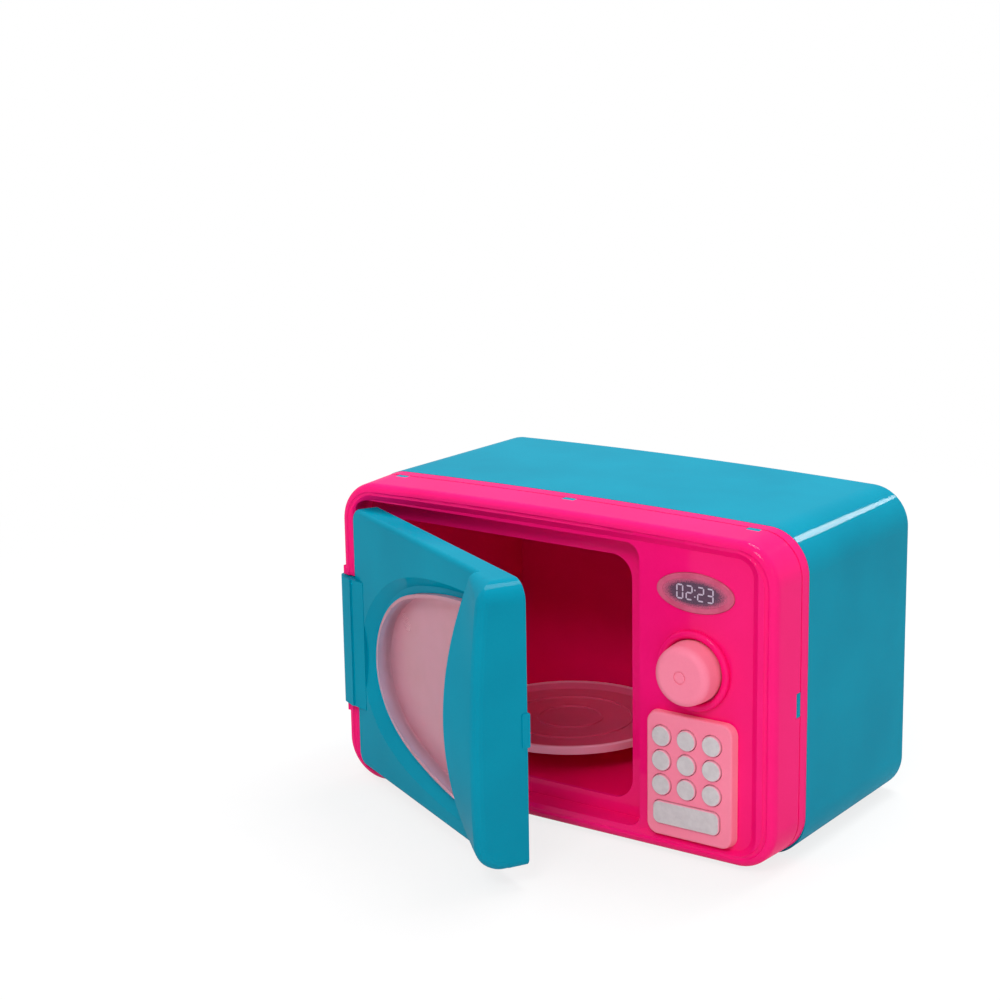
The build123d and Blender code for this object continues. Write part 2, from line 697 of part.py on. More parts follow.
liner_inner = bridge(
    liner_outline(LINER_DRAFT), -LINER_BACK_Y, liner_outline(0), flange_front_y + 0.01
)
liner_outer = bridge(
    liner_outline(LINER_DRAFT - LINER_WALL),
    -LINER_BACK_Y - LINER_WALL,
    liner_outline(-LINER_WALL),
    flange_front_y,
)
liner = liner_outer + prism(cavity_outline(LINER_FLANGE), flange_back_y, flange_front_y)
floor_z = CAVITY_LOW - LINER_OVERSIZE
for side in (-1, 1):
    foot_x = PLATE_X + side * LINER_FOOT_SPREAD
    foot_range = (foot_x - LINER_FOOT_T / 2, foot_x + LINER_FOOT_T / 2)
    liner += block(foot_range, LINER_FOOT_Y, (CASE_WALL, floor_z + LINER_DRAFT))
liner -= liner_inner
plate_floor_share = (PLATE_Y + flange_front_y) / (LINER_BACK_Y + flange_front_y)
plate_floor_z = floor_z + LINER_DRAFT * plate_floor_share
spindle_base_top = plate_floor_z + SPINDLE_BASE_H
spindle_top = PLATE_RIM_Z - PLATE_RIM_H - 1.4
base_at = Pos(PLATE_X, PLATE_Y, floor_z - 0.5)
liner += base_at * Cylinder(SPINDLE_BASE_R, spindle_base_top - floor_z + 0.5, align=upright)
liner += base_at * Cylinder(SPINDLE_R, spindle_top - floor_z + 0.5, align=upright)
for x, z in stake_places:
    liner -= disc(x, z, STAKE_R + STAKE_GAP, flange_back_y - 1, flange_front_y + 1)
export(liner, "cavity_liner")

# ---- turntable plate --------------------------------------------------------------------
plate_top = PLATE_RIM_Z
dish_z = PLATE_RIM_Z - PLATE_RIM_H + PLATE_T
under_z = PLATE_RIM_Z - PLATE_RIM_H
flat_r = PLATE_R - PLATE_FLARE
foot_z = spindle_base_top + PLATE_END_GAP
bore_r = SPINDLE_R + SPINDLE_GAP
bore_top = spindle_top + PLATE_END_GAP
with BuildSketch(Plane.XZ) as plate_profile:
    with BuildLine():
        Polyline(
            (0, dish_z),
            (flat_r, dish_z),
            (PLATE_R - PLATE_RIM_T, plate_top),
            (PLATE_R, plate_top),
            (PLATE_R - PLATE_DRAFT, under_z),
            (FOOT_R, under_z),
            (FOOT_R, foot_z),
            (bore_r, foot_z),
            (bore_r, bore_top),
            (0, bore_top),
            (0, dish_z),
        )
    make_face()
plate = revolve(plate_profile.sketch, axis=Axis.Z)
for ring_r in PLATE_RING_R:
    ring = Cylinder(ring_r + PLATE_RING_W / 2, PLATE_RING_H + 0.4, align=upright)
    ring -= Cylinder(ring_r - PLATE_RING_W / 2, PLATE_RING_H + 0.4, align=upright)
    plate += Pos(0, 0, dish_z - 0.4) * ring
rim_edges = plate.edges().filter_by(GeomType.CIRCLE).group_by(Axis.Z)[-1]
plate = fillet(rim_edges, 0.6)
export(Pos(PLATE_X, PLATE_Y, 0) * plate, "turntable_plate")


# ---- door -------------------------------------------------------------------------------
def swung(shape):
    """Turns a piece of the door from shut to its resting angle about the hinge."""
    hinge = Pos(HINGE_X, -HINGE_Y, 0)
    return hinge * Rot(0, 0, -DOOR_ANGLE) * hinge.inverse() * shape


def on_door(x, z):
    """Place on the door of a point drawn from its lower left corner."""
    stretch_x = (DOOR_RIGHT - DOOR_LEFT) / DRAWN_W
    stretch_z = (DOOR_HIGH - DOOR_LOW) / DRAWN_H
    return DOOR_LEFT + x * stretch_x, DOOR_LOW + z * stretch_z


def window_outline(share, grow=0.0):
    """Outline between the window's edge (share 0) and the moat's outer edge (share 1), then
    moved outwards by grow. It runs from the top right round the left to the bottom right."""
    points = []
    for inner, outer in zip(WINDOW, MOAT):
        x = inner[0] + share * (outer[0] - inner[0])
        z = inner[1] + share * (outer[1] - inner[1])
        points.append(on_door(x, z))
    last = len(points) - 1
    moved = []
    for i, (x, z) in enumerate(points):
        before = points[max(i - 1, 0)]
        after = points[min(i + 1, last)]
        dx = after[0] - before[0]
        dz = after[1] - before[1]
        length = math.hypot(dx, dz)
        sideways = grow if i in (0, last) else 0
        moved.append((x + grow * dz / length + sideways, z - grow * dx / length))
    curve = Spline(*moved)
    mid_x, mid_z = on_door(*WINDOW_RIGHT_MID)
    right = ThreePointArc(moved[-1], (mid_x + grow, mid_z), moved[0])
    return make_face([curve, right])


def side_profile(x, bow, radii, inset, back_y):
    """Side view of the handle at one x: bowed front edge with rounded ends. bow is how far
    forward it stands at its low end, middle and high end, before everything is inset."""
    low_y, mid_y, high_y = (inset - y for y in bow)
    low = DOOR_LOW + inset
    high = DOOR_HIGH - inset
    lower = Line((-back_y, low), (low_y, low))
    front_edge = ThreePointArc((low_y, low), (mid_y, (low + high) / 2), (high_y, high))
    upper = Line((high_y, high), (-back_y, high))
    rear = Line((-back_y, high), (-back_y, low))
    face = make_face([lower, front_edge, upper, rear])
    for corner, radius in zip(((low_y, low, 0), (high_y, high, 0)), radii):
        nearest = face.vertices().sort_by_distance(corner)[0]
        face = fillet(nearest, radius - inset)
    return Plane(origin=(x, 0, 0), x_dir=(0, 1, 0), z_dir=(1, 0, 0)) * face


def handle_body(right, inset, back_y):
    """The handle from its crest beside the window to its rounded free end."""
    crest_bow = (CREST_END_Y, CREST_MID_Y, CREST_END_Y)
    crest_radii = (CREST_CORNER_R + inset, CREST_CORNER_R + inset)
    grip_bow = (GRIP_LOW_Y, GRIP_MID_Y, GRIP_HIGH_Y)
    sections = [side_profile(HANDLE_ROOT_X, crest_bow, crest_radii, inset, back_y)]
    for step in range(GRIP_EDGE_STEPS + 1):
        turn = math.radians(90) * step / GRIP_EDGE_STEPS
        x = right - GRIP_EDGE_R * (1 - math.sin(turn))
        rounded = inset + GRIP_EDGE_R * (1 - math.cos(turn))
        sections.append(side_profile(x, grip_bow, (GRIP_LOW_R, GRIP_HIGH_R), rounded, back_y))
    return loft(sections, ruled=True)


def right_of_window(shift, y):
    """Everything to the right of the window's right edge, moved right by shift."""
    top = (on_door(*WINDOW[0])[0] + 2 + shift, DOOR_HIGH + 3)
    low = (on_door(*WINDOW[-1])[0] + 1 + shift, DOOR_LOW - 3)
    mid_x, mid_z = on_door(*WINDOW_RIGHT_MID)
    middle = (mid_x + shift, mid_z)
    edge = ThreePointArc(low, middle, top)
    over = Polyline(top, (DOOR_RIGHT + 10, top[1]), (DOOR_RIGHT + 10, low[1]), low)
    return front(y) * make_face([edge, *over.edges()])


def door_outline(inset):
    """The door seen from the front, inset all round."""
    radii = (DOOR_R_LEFT - inset, DOOR_R_LOW - inset, DOOR_R_HIGH - inset, DOOR_R_LEFT - inset)
    return outline(
        DOOR_LEFT + inset,
        DOOR_RIGHT - inset,
        DOOR_LOW + inset,
        DOOR_HIGH - inset,
        radii,
    )


slab_outline = door_outline(0)
slab = prism(slab_outline, DOOR_BACK_Y, DOOR_FRONT_Y)
slab = fillet(slab.faces().sort_by(Axis.Y)[0].edges(), DOOR_EDGE_R)
handle = handle_body(DOOR_RIGHT, 0, DOOR_BACK_Y)
flank = loft([right_of_window(0, DOOR_FRONT_Y - 3), right_of_window(CREST_LEAN, 50)], ruled=True)
handle = handle & flank & prism(slab_outline, DOOR_BACK_Y, 50)
door = slab + handle

moat_floor_y = DOOR_FRONT_Y - MOAT_DEEP
moat = bridge(window_outline(MOAT_FLOOR_SHARE), moat_floor_y, window_outline(1), DOOR_FRONT_Y + 0.01)
door -= moat

door_room = prism(door_outline(DOOR_WALL), DOOR_BACK_Y - 1, DOOR_FRONT_Y - DOOR_WALL)
moat_back = window_outline(1, DOOR_WALL)
door_room -= prism(moat_back, moat_floor_y - DOOR_WALL, DOOR_FRONT_Y + 1)
grip_room = handle_body(DOOR_RIGHT - HANDLE_WALL, HANDLE_WALL, DOOR_BACK_Y - 2)
grip_room = grip_room & loft(
    [right_of_window(HANDLE_WALL + 1, DOOR_BACK_Y - 3), right_of_window(CREST_LEAN + HANDLE_WALL, 50)],
    ruled=True,
)
door = door - door_room - grip_room
door -= prism(window_outline(0.03), DOOR_BACK_Y - 1, DOOR_FRONT_Y)

# Hinge knuckle with its moulded pegs, which ramps down to the door's front, and the pad that
# meets the recess floor.
barrel_at = Pos(HINGE_X, -HINGE_Y, BARREL_LOW)
door += barrel_at * Cylinder(BARREL_R, BARREL_HIGH - BARREL_LOW, align=upright)
knuckle_plan = Polyline(
    (HINGE_X, -KNUCKLE_FRONT_Y),
    (HINGE_X + KNUCKLE_FLAT, -KNUCKLE_FRONT_Y),
    (KNUCKLE_PAD_RIGHT, -DOOR_FRONT_Y - 0.2),
    (KNUCKLE_PAD_RIGHT, -DOOR_FRONT_Y + DOOR_WALL),
    (HINGE_X, -DOOR_FRONT_Y + DOOR_WALL),
    close=True,
)
knuckle_face = make_face(knuckle_plan)
ramp_start = knuckle_face.vertices().sort_by(Axis.Y)[:2].sort_by(Axis.X)[-1]
knuckle_face = fillet(ramp_start, KNUCKLE_FILLET)
knuckle = extrude(Pos(0, 0, BARREL_LOW) * knuckle_face, BARREL_HIGH - BARREL_LOW)
door += knuckle
door += block(
    (HINGE_X, DOOR_LEFT + DOOR_WALL),
    (-KNUCKLE_FRONT_Y, -KNUCKLE_BACK_Y),
    (BARREL_LOW, BARREL_HIGH),
)
door += Pos(HINGE_X, -HINGE_Y, (BARREL_LOW + BARREL_HIGH) / 2) * Cylinder(
    PEG_R, BARREL_HIGH - BARREL_LOW + 2 * PEG_LEN
)
pad = block(PAD_X, (-DOOR_BACK_Y - 3, -PAD_Y), PAD_Z)
pad = fillet(pad.edges().filter_by(Axis.X), 0.8)
door += pad
export(swung(door), "door_shell")

# A shallow clear tray: its flange sits behind the moat floor, its wall comes through the
# opening and stands up as a bead, and its flat floor lies deeper.
pane_outline = window_outline(0.03, -PANE_GAP)
pane_inner = window_outline(0.03, -PANE_GAP - PANE_BEAD_W)
flange_face = window_outline(0.03, PANE_FLANGE)
flange_y = moat_floor_y - DOOR_WALL
bead_y = moat_floor_y + PANE_BEAD_H
pane_back_y = bead_y - PANE_DEEP - PANE_T
pane = prism(pane_outline, pane_back_y, bead_y)
pane += prism(flange_face, flange_y - PANE_T, flange_y)
pane -= prism(pane_inner, pane_back_y + PANE_T, bead_y + 1)
export(swung(pane), "window_pane")

# ---- knob -------------------------------------------------------------------------------
knob_back_y = PANEL_Y + 0.4
knob = disc(KNOB_X, KNOB_Z, KNOB_R, knob_back_y, knob_back_y + 4)
knob_tip = loft(
    [
        front(knob_back_y + 4) * Pos(KNOB_X, KNOB_Z) * Circle(KNOB_R),
        front(KNOB_FRONT_Y) * Pos(KNOB_X, KNOB_Z) * Circle(KNOB_TIP_R),
    ],
    ruled=True,
)
knob += fillet(knob_tip.faces().sort_by(Axis.Y)[0].edges(), KNOB_EDGE_R)
dimple = disc(KNOB_X, KNOB_Z, KNOB_DIMPLE_R, KNOB_FRONT_Y - KNOB_DIMPLE_DEEP, KNOB_FRONT_Y + 1)
dimple -= disc(KNOB_X, KNOB_Z, KNOB_DIMPLE_R - KNOB_DIMPLE_W, KNOB_FRONT_Y - 1, KNOB_FRONT_Y + 2)
knob -= dimple
shaft_end_y = bush_end_y - KNOB_END_GAP
knob += disc(KNOB_X, KNOB_Z, SHAFT_R, shaft_end_y, knob_back_y + 1)
knob -= disc(KNOB_X, KNOB_Z, SCREW_SHANK_R, shaft_end_y - 1, shaft_end_y + SCREW_LEN)
export(knob, "knob")

washer_back_y = shaft_end_y - WASHER_T
washer = disc(KNOB_X, KNOB_Z, WASHER_R, washer_back_y, shaft_end_y)
washer -= disc(KNOB_X, KNOB_Z, SCREW_SHANK_R, washer_back_y - 1, shaft_end_y + 1)
export(washer, "knob_washer")
export(screw(KNOB_X, KNOB_Z, washer_back_y, SCREW_LEN), "knob_screw")

# ---- display ----------------------------------------------------------------------------
display_seat_y = PANEL_Y - DISPLAY_SEAT
display = prism(oval(DISPLAY_X, DISPLAY_Z, DISPLAY_W, DISPLAY_H), display_seat_y, display_seat_y + DISPLAY_T)
display = fillet(display.faces().sort_by(Axis.Y)[0].edges(), 0.6)
label_y = display_seat_y + DISPLAY_T
display -= prism(
    oval(DISPLAY_X, DISPLAY_Z, LABEL_W + 0.2, LABEL_H + 0.2), label_y - LABEL_T, label_y + 1
)
export(display, "display_plate")
label = prism(oval(DISPLAY_X, DISPLAY_Z, LABEL_W, LABEL_H), label_y - LABEL_T, label_y - 0.05)
export(label, "display_label")


# ---- keypad -----------------------------------------------------------------------------
def keypad_outline(grow, side_grow):
    """Keypad plate outline; side_grow widens it left and right only."""
    return outline(
        PAD_PLATE_LEFT - grow - side_grow,
        PAD_PLATE_RIGHT + grow + side_grow,
        PAD_PLATE_LOW - grow,
        PAD_PLATE_HIGH + grow,
        PAD_PLATE_R + grow,
    )


keypad_front_y = PANEL_Y + PAD_PLATE_H
keypad_inside_y = keypad_front_y - PAD_PLATE_WALL
keypad = bridge(keypad_outline(0, PAD_PLATE_FLARE), PANEL_Y, keypad_outline(0, 0), keypad_front_y)
keypad = fillet(keypad.faces().sort_by(Axis.Y)[0].edges(), PAD_PLATE_EDGE_R)
keypad -= prism(keypad_outline(-PAD_PLATE_WALL, 0), PANEL_Y - 1, keypad_inside_y)
key_places = []
for row in (1, 0, -1):
    for column in (-1, 0, 1):
        key_places.append((KEY_MID_X + column * KEY_PITCH_X, KEY_MID_Z + row * KEY_PITCH_Z))
hole_r = KEY_R + KEY_HOLE_GAP
for x, z in key_places:
    keypad -= disc(x, z, hole_r, PANEL_Y, keypad_front_y + 1)
bar_hole = outline(
    BAR_X - BAR_W / 2 - KEY_HOLE_GAP,
    BAR_X + BAR_W / 2 + KEY_HOLE_GAP,
    BAR_Z - BAR_H / 2 - KEY_HOLE_GAP,
    BAR_Z + BAR_H / 2 + KEY_HOLE_GAP,
    BAR_R + KEY_HOLE_GAP,
)
keypad -= prism(bar_hole, PANEL_Y, keypad_front_y + 1)
peg_back_y = PANEL_Y - FASCIA_WALL - 0.8
for x in KEYPAD_PEG_X:
    keypad += disc(x, KEYPAD_PEG_Z, KEYPAD_PEG_R, peg_back_y, keypad_inside_y + 0.5)
export(keypad, "keypad_plate")

flange_front_key_y = keypad_inside_y - KEY_SEAT_GAP
flange_back_key_y = flange_front_key_y - KEY_FLANGE_T
stem_end_y = flange_back_key_y - KEY_STEM_LEN
key_top_y = keypad_front_y + KEY_PROUD
for number, (x, z) in enumerate(key_places, start=1):
    key = disc(x, z, KEY_R, flange_back_key_y, key_top_y)
    key = fillet(key.faces().sort_by(Axis.Y)[0].edges(), KEY_EDGE_R)
    key += disc(x, z, KEY_R + KEY_FLANGE, flange_back_key_y, flange_front_key_y)
    key += disc(x, z, KEY_STEM_R, stem_end_y, flange_back_key_y)
    export(key, "key_" + str(number))

bar_cap = outline(BAR_X - BAR_W / 2, BAR_X + BAR_W / 2, BAR_Z - BAR_H / 2, BAR_Z + BAR_H / 2, BAR_R)
bar = prism(bar_cap, flange_back_key_y, key_top_y)
bar = fillet(bar.faces().sort_by(Axis.Y)[0].edges(), KEY_EDGE_R)
bar_flange = outline(
    BAR_X - BAR_W / 2 - KEY_FLANGE,
    BAR_X + BAR_W / 2 + KEY_FLANGE,
    BAR_Z - BAR_H / 2 - KEY_FLANGE,
    BAR_Z + BAR_H / 2 + KEY_FLANGE,
    BAR_R + KEY_FLANGE,
)
bar += prism(bar_flange, flange_back_key_y, flange_front_key_y)
bar_stem = Pos(BAR_X, BAR_Z) * Rectangle(BAR_STEM_W, BAR_STEM_H)
bar += prism(bar_stem, stem_end_y, flange_back_key_y)
export(bar, "key_bar")

# ---- rubber mat, circuit board and their screws -----------------------------------------
mat = prism(rectangle(MAT, 1.5), BOARD_FRONT_Y, BOARD_FRONT_Y + MAT_T)
dome_y = BOARD_FRONT_Y + MAT_T
dome_places = key_places + [(BAR_X - 9, BAR_Z), (BAR_X + 9, BAR_Z)]
for x, z in dome_places:
    dome = loft(
        [
            front(dome_y - 0.2) * Pos(x, z) * Circle(DOME_R),
            front(dome_y + DOME_H) * Pos(x, z) * Circle(DOME_TIP_R),
        ],
        ruled=True,
    )
    mat += dome
    mat -= disc(x, z, DOME_TIP_R - 0.9, BOARD_FRONT_Y - 1, dome_y + DOME_H - 0.7)
export(mat, "key_mat")

board_back_y = BOARD_FRONT_Y - BOARD_T
board = prism(rectangle(BOARD, 2.0), board_back_y, BOARD_FRONT_Y)
board_screws = []
for x, z in post_places:
    board -= disc(x, z, SCREW_SHANK_R + 0.1, board_back_y - 1, BOARD_FRONT_Y + 1)
    board_screws.append(screw(x, z, board_back_y, SCREW_LEN))
export(board, "circuit_board")
export(Compound(children=board_screws), "board_screws")

chip = disc(CHIP_X, CHIP_Z, CHIP_R, board_back_y - CHIP_T, board_back_y)
chip = fillet(chip.faces().sort_by(Axis.Y)[-1].edges(), CHIP_T - 0.3)
export(chip, "sound_chip")

# ---- speaker ----------------------------------------------------------------------------
seat_y = -speaker_seat_y
basket = disc(SPEAKER_X, SPEAKER_Z, SPEAKER_R, seat_y, seat_y + SPEAKER_DEPTH)
for side in (-1, 1):
    x = SPEAKER_X + side * SPEAKER_EAR_X
    ear = disc(x, SPEAKER_Z, 3.2, seat_y, seat_y + SPEAKER_FLANGE_T)
    arm_x = (min(x, SPEAKER_X + side * SPEAKER_R), max(x, SPEAKER_X + side * SPEAKER_R))
    arm = block(
        (arm_x[0] - 0.8, arm_x[1] + 0.8),
        (-seat_y - SPEAKER_FLANGE_T, -seat_y),
        (SPEAKER_Z - 3, SPEAKER_Z + 3),
    )
    basket += ear + arm
    basket -= disc(x, SPEAKER_Z, SCREW_SHANK_R + 0.1, seat_y - 1, seat_y + 3)
basket += disc(SPEAKER_X, SPEAKER_Z, MAGNET_R, seat_y + SPEAKER_DEPTH, seat_y + SPEAKER_DEPTH + MAGNET_T)
basket_room = loft(
    [
        front(seat_y + 1.6) * Pos(SPEAKER_X, SPEAKER_Z) * Circle(CONE_R + 0.6),
        front(seat_y + SPEAKER_DEPTH - 0.8) * Pos(SPEAKER_X, SPEAKER_Z) * Circle(CONE_THROAT_R + 3),
    ],
    ruled=True,
)
basket = basket - basket_room - disc(SPEAKER_X, SPEAKER_Z, CONE_R + 0.6, seat_y - 1, seat_y + 1.6)
export(basket, "speaker_frame")

cone_front_y = seat_y + 0.8
cone_deep = 3.6
with BuildSketch(Plane.XY) as cone_profile:
    with BuildLine():
        Polyline(
            (0, cone_deep),
            (CONE_THROAT_R, cone_deep),
            (CONE_R, 0),
            (CONE_R + 0.2, 0),
            (CONE_R + 0.2, CONE_T),
            (CONE_THROAT_R, cone_deep + CONE_T),
            (0, cone_deep + CONE_T),
            (0, cone_deep),
        )
    make_face()
cone = revolve(cone_profile.sketch, axis=Axis.Y)
cone = Pos(SPEAKER_X, -cone_front_y, SPEAKER_Z) * Rot(0, 0, 180) * cone
export(cone, "speaker_cone")

speaker_screws = []
for side in (-1, 1):
    x = SPEAKER_X + side * SPEAKER_EAR_X
    speaker_screws.append(Rot(0, 0, 180) * screw(-x, SPEAKER_Z, speaker_seat_y - SPEAKER_FLANGE_T, 4.0))
export(Compound(children=speaker_screws), "speaker_screws")


# ---- leads ------------------------------------------------------------------------------
def lead(points):
    """Insulated wire along straight runs joined by arcs as large as the runs allow."""
    radii = []
    for before, corner, after in zip(points, points[1:], points[2:]):
        run_in = Vector(*corner) - Vector(*before)
        run_out = Vector(*after) - Vector(*corner)
        half_turn = math.radians(run_in.get_angle(run_out)) / 2
        radii.append(0.45 * min(run_in.length, run_out.length) / math.tan(half_turn))
    path = FilletPolyline(*points, radius=radii)
    start = Plane(origin=path @ 0, z_dir=path % 0)
    return sweep(start * Circle(LEAD_R), path=path)


battery_leads = []
speaker_leads = []
board_end_y = -board_back_y + LEAD_END_GAP
speaker_end_y = speaker_seat_y - SPEAKER_DEPTH - LEAD_END_GAP
for side in (-1, 1):
    x = BATTERY_X + side * (CELL_SPACING / 2 + LEAD_OFFSET)
    battery_leads.append(
        lead(
            [
                (x, lead_y, CELL_Z + CONTACT_H / 2 - 0.4),
                (x, lead_y, BATTERY_ROOM_TOP + 10),
                (x, lead_y - 12, BATTERY_ROOM_TOP + 19),
                (x, lead_y - 26, BATTERY_ROOM_TOP + 15),
                (x, board_end_y, BATTERY_ROOM_TOP + 10),
            ]
        )
    )
    tag_x = SPEAKER_X + side * 8
    speaker_leads.append(
        lead(
            [
                (tag_x, speaker_end_y, SPEAKER_Z - 15),
                (tag_x, speaker_end_y - 16, SPEAKER_Z - 19),
                (tag_x, speaker_end_y - 44, SPEAKER_Z - 34),
                (tag_x, board_end_y + 30, SPEAKER_Z - 46),
                (tag_x, board_end_y, SPEAKER_Z - 42),
            ]
        )
    )
export(Compound(children=battery_leads), "battery_leads")
export(Compound(children=speaker_leads), "speaker_leads")
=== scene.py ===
import math

import bmesh
import bpy
from mathutils import Matrix, Vector


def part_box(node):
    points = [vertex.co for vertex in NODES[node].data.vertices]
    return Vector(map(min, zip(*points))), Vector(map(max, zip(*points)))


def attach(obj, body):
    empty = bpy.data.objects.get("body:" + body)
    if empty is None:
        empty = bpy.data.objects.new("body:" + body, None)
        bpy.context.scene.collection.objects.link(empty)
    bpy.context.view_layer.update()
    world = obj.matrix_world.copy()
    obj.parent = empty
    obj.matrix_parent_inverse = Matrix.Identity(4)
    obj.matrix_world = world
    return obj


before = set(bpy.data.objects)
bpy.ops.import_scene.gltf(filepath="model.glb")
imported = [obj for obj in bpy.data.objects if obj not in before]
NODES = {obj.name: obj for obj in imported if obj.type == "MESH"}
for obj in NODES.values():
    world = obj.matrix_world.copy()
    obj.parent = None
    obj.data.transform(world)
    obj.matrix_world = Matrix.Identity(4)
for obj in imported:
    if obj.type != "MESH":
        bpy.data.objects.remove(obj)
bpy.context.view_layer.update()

MM = 0.001

# ---- camera -----------------------------------------------------------------------------
CAMERA_AT = (0.62564, -0.99681, 0.44344)
CAMERA_YAW = 35.61
CAMERA_PITCH = 13.89
CAMERA_ROLL = -0.98
SENSOR_MM = 36.0
LENS_MM = 83.89
CLIP_NEAR, CLIP_FAR = 0.05, 20.0

# ---- surroundings -----------------------------------------------------------------------
WHITE = (1.0, 1.0, 1.0, 1.0)
PAPER_DARK = (0.80, 0.80, 0.80, 1.0)
PAPER_LIGHT = (0.84, 0.84, 0.84, 1.0)
PAPER_SCALE = 60.0
PAPER_ROUGH = 0.9
FLOOR_RADIUS = 8.0
FLOOR_SIDES = 96
FLOOR_DROP = 0.2 * MM
# the floor turns to plain white between these distances from the origin, in metres
FLOOR_NEAR, FLOOR_FAR = 0.25, 0.75
FLOOR_GLOW = 0.8
HORIZON_LIGHT = 0.2
ZENITH_LIGHT = 0.85
ZENITH_FROM = 0.9
LAMPS = {
    # name: place, the place it shines at, width in metres, watts
    "key_lamp": ((0.45, -1.5, 1.4), (0.0, 0.0, 0.08), 0.7, 15.0),
    "fill_lamp": ((1.6, -0.9, 0.9), (0.0, 0.0, 0.08), 0.8, 1.0),
    "top_lamp": ((0.1, 0.5, 1.7), (0.0, 0.0, 0.16), 0.8, 15.5),
    "edge_lamp": ((0.37, 1.35, 0.9), (0.12, 0.0, 0.155), 0.24, 5.0),
}

# ---- finish -----------------------------------------------------------------------------
# a scale is how many cells of the pattern fit in a metre; most noise lies between these two
NOISE_LOW, NOISE_HIGH = 0.3, 0.7
COAT_ROUGH = 0.07
FLOW_SCALE = 18.0
FLECK_SCALE, FLECK_SHARE = 900.0, 0.2
DUST_SCALE = 420.0
DUST_FROM, DUST_TO = 0.62, 0.8
PATCH_SCALE = 55.0
PATCH_DULLER, PATCH_SHINIER = 0.07, 0.05
PEEL_SCALE, PEEL_SHARE = 700.0, 0.5
SINK_SCALE, SINK_SHARE = 26.0, 8.0
# how far the y of the surface's normal is from -1, straight ahead, where a cap's edge begins
EDGE_FROM, EDGE_TO = -0.97, -0.7
CLEAR_IOR = 1.2
CLOUD_SCALE = 24.0
CLOUD_SWING = 0.05
SCRATCH_SCALE, SCRATCH_STRETCH, SCRATCH_ROUGH = 300.0, (0.15, 1.0, 2.5), 0.12
SAG_SCALE, SAG_DEPTH = 40.0, 0.01 * MM
MILK_ROUGH = 0.35
# painted highlight on the turntable plate's rim: width of the paler band and its extra milk
PLATE_RIM_HIGHLIGHT_WIDTH = 3.0 * MM
PLATE_RIM_HIGHLIGHT_MILK = 0.3
DOT_SCALE = 2600.0
DOT_FROM, DOT_TO = 0.15, 0.6
WEAR_SCALE, WEAR_SWING = 200.0, 0.08
PRINT_DEPTH = 0.004 * MM
LABEL_SCALE, LABEL_GRAIN = 1500.0, 0.5
LABEL_FADE_FROM, LABEL_FADE_TO = 0.98, 1.28
DRAWN_SCALE, DRAWN_SHARE = 900.0, 0.6
BLOTCH_SCALE, BLOTCH_SHARE = 160.0, 0.4
DRAWN_SHINIER, DRAWN_DULLER = 0.08, 0.12
DRAWN_DEPTH = 0.01 * MM
JACKET_SCALE, JACKET_METAL, JACKET_DEPTH = 700.0, 0.3, 0.005 * MM
COPPER_SHARE, COPPER_BLUR = 0.28, 0.1 * MM
TRACK_SCALE, MASK_SCALE, TRACK_DEPTH = 160.0, 500.0, 0.03 * MM

# ---- printed display --------------------------------------------------------------------
DISPLAY_TEXT = "02:23"
DIGIT_W = 3.9 * MM
DIGIT_H = 7.4 * MM
DIGIT_STROKE = 0.72 * MM
DIGIT_GAP = 0.16 * MM
DIGIT_THICK = 0.03 * MM
DIGIT_PITCH = 5.15 * MM
COLON_ROOM = 1.15 * MM
COLON_RISE = 0.22 * DIGIT_H
SEGMENTS = {"0": "abcdef", "2": "abged", "3": "abgcd"}


def linear(red, green, blue):
    """Scene colour of a screen colour given in 0 to 255."""
    def one(value):
        value /= 255.0
        return value / 12.92 if value <= 0.04045 else ((value + 0.055) / 1.055) ** 2.4

    return (one(red), one(green), one(blue), 1.0)


DUST_COLOUR = linear(235, 225, 228)
# colour of the painted highlight on the turntable plate's rim
PLATE_RIM_HIGHLIGHT_COLOUR = linear(255, 176, 204)


# ---- node helpers -----------------------------------------------------------------------
def add(tree, kind, **settings):
    """A node of this kind; each setting is a property of it or, failing that, an input."""
    node = tree.nodes.new(kind)
    for name, value in settings.items():
        if hasattr(node, name):
            setattr(node, name, value)
        else:
            node.inputs[name].default_value = value
    return node


def new_material(name):
    """(material, its node tree, its Principled shader)"""
    material = bpy.data.materials.new(name)
    material.use_nodes = True
    tree = material.node_tree
    return material, tree, tree.nodes["Principled BSDF"]


def noise(tree, where, scale, detail=2.0, rough=0.5, stretch=None):
    """Noise over a place in metres; stretch squeezes the pattern along each axis."""
    if stretch is not None:
        mapping = add(tree, "ShaderNodeMapping", Scale=stretch)
        tree.links.new(where, mapping.inputs["Vector"])
        where = mapping.outputs["Vector"]
    node = add(tree, "ShaderNodeTexNoise", Scale=scale, Detail=detail, Roughness=rough)
    tree.links.new(where, node.inputs["Vector"])
    return node.outputs["Fac"]


def spread(tree, value, low, high, out_low, out_high):
    """value from low..high to out_low..out_high, held at the ends."""
    node = add(tree, "ShaderNodeMapRange")
    tree.links.new(value, node.inputs["Value"])
    for name, number in zip(("From Min", "From Max", "To Min", "To Max"), (low, high, out_low, out_high)):
        node.inputs[name].default_value = number
    return node.outputs["Result"]


def mixed(tree, share, first, second):
    """Colour between first and second; each is a colour or a socket."""
    node = add(tree, "ShaderNodeMix", data_type="RGBA")
    tree.links.new(share, node.inputs[0])
    for socket, colour in ((node.inputs[6], first), (node.inputs[7], second)):
        if isinstance(colour, tuple):
            socket.default_value = colour
        else:
            tree.links.new(colour, socket)
    return node.outputs[2]


